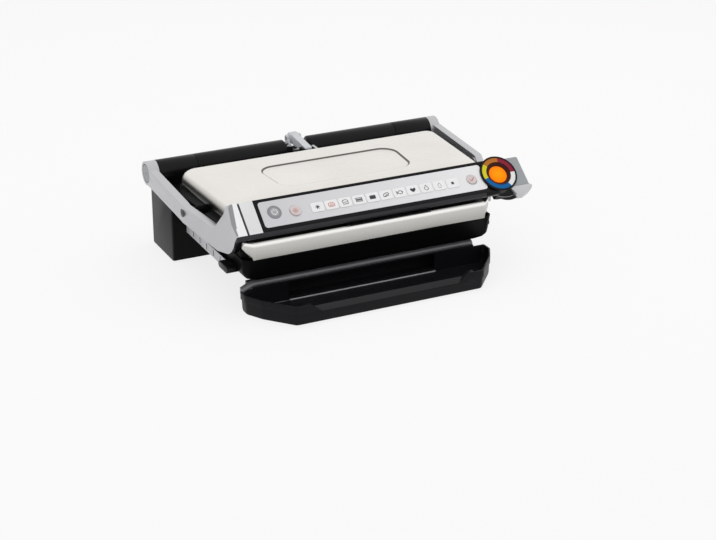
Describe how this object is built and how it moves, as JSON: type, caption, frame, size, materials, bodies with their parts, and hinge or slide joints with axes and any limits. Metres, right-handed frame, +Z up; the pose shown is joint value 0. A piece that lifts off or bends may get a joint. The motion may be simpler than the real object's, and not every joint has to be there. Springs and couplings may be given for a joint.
{
  "type": "electric indoor grill",
  "caption": "Countertop contact grill with a ribbed lower plate, a lid floating on a hinged handle frame, a sloped control panel with a round indicator, and a slide-out drip tray.",
  "frame": {"origin": "middle of the footprint, on the surface that the feet stand on", "axes": "+X to the right along the handle, +Y to the back where the hinge is, +Z up"},
  "size_m": [0.548, 0.414, 0.1752],
  "materials": {
    "black_plastic": "fine moulded grain",
    "gloss_black": "glossy",
    "brushed_steel": "brushed along the width, warm grey",
    "satin_silver": "satin silver paint",
    "panel_silver": "fine satin, printed icons",
    "vent_grey": "satin",
    "cap_grey": "satin green-grey",
    "cast_plate": "non-stick coating, slightly glossy",
    "element_steel": "heat-tinted",
    "sheet_steel": "plain sheet",
    "plain_steel": "turned, zinc plated",
    "rubber": "matte",
    "soft_grip": "soft, matte",
    "board_green": "solder mask",
    "ring_print": "printed colour band under clear coat",
    "lens_orange": "lit from behind",
    "key_white": "satin white",
    "key_grey": "satin grey",
    "key_rose": "satin pale rose",
    "clear_grey": "milky, slightly see-through"
  },
  "bodies": {
    "base": {"base_housing": "black_plastic", "front_band": "brushed_steel", "rear_housing": "black_plastic", "bottom_cover": "black_plastic", "vent_strips": "vent_grey", "feet": "rubber", "cord_gland": "rubber", "power_board": "board_green", "lower_plate": "cast_plate", "lower_element": "element_steel", "lower_reflector": "sheet_steel", "plate_sensor": "plain_steel", "housing_screws": "plain_steel", "catch_spring_left": "plain_steel", "catch_spring_right": "plain_steel"},
    "handle_frame": {"hinge_shaft": "plain_steel", "hinge_tubes": "black_plastic", "arm_left": "satin_silver", "arm_right": "satin_silver", "hub_caps": "cap_grey", "lid_pins": "plain_steel", "handle_shell": "gloss_black", "end_trim": "satin_silver", "panel_plate": "panel_silver", "control_board": "board_green", "dial_cup": "gloss_black", "dial_ring": "ring_print", "dial_lens": "lens_orange", "end_cap": "cap_grey", "grip": "soft_grip", "link_axle": "plain_steel"},
    "lid": {"lid_cover": "brushed_steel", "lid_frame": "gloss_black", "upper_plate": "cast_plate", "upper_element": "element_steel", "upper_reflector": "sheet_steel", "upper_catches": "plain_steel", "link_pin": "plain_steel"},
    "link": {"link_arm": "clear_grey"},
    "tray": {"drip_tray": "black_plastic"},
    "left_catch": {"catch_left": "black_plastic"},
    "right_catch": {"catch_right": "black_plastic"},
    "power_key": {"power_button": "key_grey"},
    "frost_key": {"frost_button": "key_rose"},
    "confirm_key": {"confirm_button": "key_rose"},
    "mode_key_1": {"key_1": "key_white"},
    "mode_key_2": {"key_2": "key_white"},
    "mode_key_3": {"key_3": "key_white"},
    "mode_key_4": {"key_4": "key_white"},
    "mode_key_5": {"key_5": "key_white"},
    "mode_key_6": {"key_6": "key_white"},
    "mode_key_7": {"key_7": "key_white"},
    "mode_key_8": {"key_8": "key_white"},
    "mode_key_9": {"key_9": "key_white"},
    "mode_key_10": {"key_10": "key_white"},
    "mode_key_11": {"key_11": "key_white"}
  },
  "joints": [
    {"name": "lid_hinge", "type": "hinge", "parent": "base", "child": "handle_frame", "pos_m": [-0.01, 0.153, 0.142], "axis": [-1, 0, 0], "range_deg": [0, 100]},
    {"name": "lid_float", "type": "hinge", "parent": "handle_frame", "child": "lid", "pos_m": [-0.01, -0.0096, 0.1317], "axis": [-1, 0, 0], "range_deg": [-1.5, 1.5]},
    {"name": "link_turn", "type": "hinge", "parent": "handle_frame", "child": "link", "pos_m": [-0.01, 0.162, 0.1605], "axis": [-1, 0, 0], "range_deg": [-3.2, 3.2]},
    {"name": "tray_slide", "type": "slide", "parent": "base", "child": "tray", "axis": [0, -1, 0], "range_m": [0, 0.12]},
    {"name": "left_catch_press", "type": "slide", "parent": "base", "child": "left_catch", "axis": [1, 0, 0], "range_m": [0, 0.003], "stiffness_N_per_m": 800, "springref_m": -0.002, "deforming": ["catch_spring_left"]},
    {"name": "right_catch_press", "type": "slide", "parent": "base", "child": "right_catch", "axis": [-1, 0, 0], "range_m": [0, 0.003], "stiffness_N_per_m": 800, "springref_m": -0.002, "deforming": ["catch_spring_right"]},
    {"name": "power_press", "type": "slide", "parent": "handle_frame", "child": "power_key", "axis": [0, 0.6468, -0.7627], "range_m": [0, 0.0009], "stiffness_N_per_m": 600, "springref_m": -0.001},
    {"name": "frost_press", "type": "slide", "parent": "handle_frame", "child": "frost_key", "axis": [0, 0.6468, -0.7627], "range_m": [0, 0.0009], "stiffness_N_per_m": 600, "springref_m": -0.001},
    {"name": "confirm_press", "type": "slide", "parent": "handle_frame", "child": "confirm_key", "axis": [0, 0.6468, -0.7627], "range_m": [0, 0.0009], "stiffness_N_per_m": 600, "springref_m": -0.001},
    {"name": "mode_1_press", "type": "slide", "parent": "handle_frame", "child": "mode_key_1", "axis": [0, 0.6468, -0.7627], "range_m": [0, 0.0009], "stiffness_N_per_m": 600, "springref_m": -0.001},
    {"name": "mode_2_press", "type": "slide", "parent": "handle_frame", "child": "mode_key_2", "axis": [0, 0.6468, -0.7627], "range_m": [0, 0.0009], "stiffness_N_per_m": 600, "springref_m": -0.001},
    {"name": "mode_3_press", "type": "slide", "parent": "handle_frame", "child": "mode_key_3", "axis": [0, 0.6468, -0.7627], "range_m": [0, 0.0009], "stiffness_N_per_m": 600, "springref_m": -0.001},
    {"name": "mode_4_press", "type": "slide", "parent": "handle_frame", "child": "mode_key_4", "axis": [0, 0.6468, -0.7627], "range_m": [0, 0.0009], "stiffness_N_per_m": 600, "springref_m": -0.001},
    {"name": "mode_5_press", "type": "slide", "parent": "handle_frame", "child": "mode_key_5", "axis": [0, 0.6468, -0.7627], "range_m": [0, 0.0009], "stiffness_N_per_m": 600, "springref_m": -0.001},
    {"name": "mode_6_press", "type": "slide", "parent": "handle_frame", "child": "mode_key_6", "axis": [0, 0.6468, -0.7627], "range_m": [0, 0.0009], "stiffness_N_per_m": 600, "springref_m": -0.001},
    {"name": "mode_7_press", "type": "slide", "parent": "handle_frame", "child": "mode_key_7", "axis": [0, 0.6468, -0.7627], "range_m": [0, 0.0009], "stiffness_N_per_m": 600, "springref_m": -0.001},
    {"name": "mode_8_press", "type": "slide", "parent": "handle_frame", "child": "mode_key_8", "axis": [0, 0.6468, -0.7627], "range_m": [0, 0.0009], "stiffness_N_per_m": 600, "springref_m": -0.001},
    {"name": "mode_9_press", "type": "slide", "parent": "handle_frame", "child": "mode_key_9", "axis": [0, 0.6468, -0.7627], "range_m": [0, 0.0009], "stiffness_N_per_m": 600, "springref_m": -0.001},
    {"name": "mode_10_press", "type": "slide", "parent": "handle_frame", "child": "mode_key_10", "axis": [0, 0.6468, -0.7627], "range_m": [0, 0.0009], "stiffness_N_per_m": 600, "springref_m": -0.001},
    {"name": "mode_11_press", "type": "slide", "parent": "handle_frame", "child": "mode_key_11", "axis": [0, 0.6468, -0.7627], "range_m": [0, 0.0009], "stiffness_N_per_m": 600, "springref_m": -0.001}
  ],
  "couplings": [
    {"joint": "link_turn", "follows": "lid_float", "ratio": -1.9586}
  ]
}
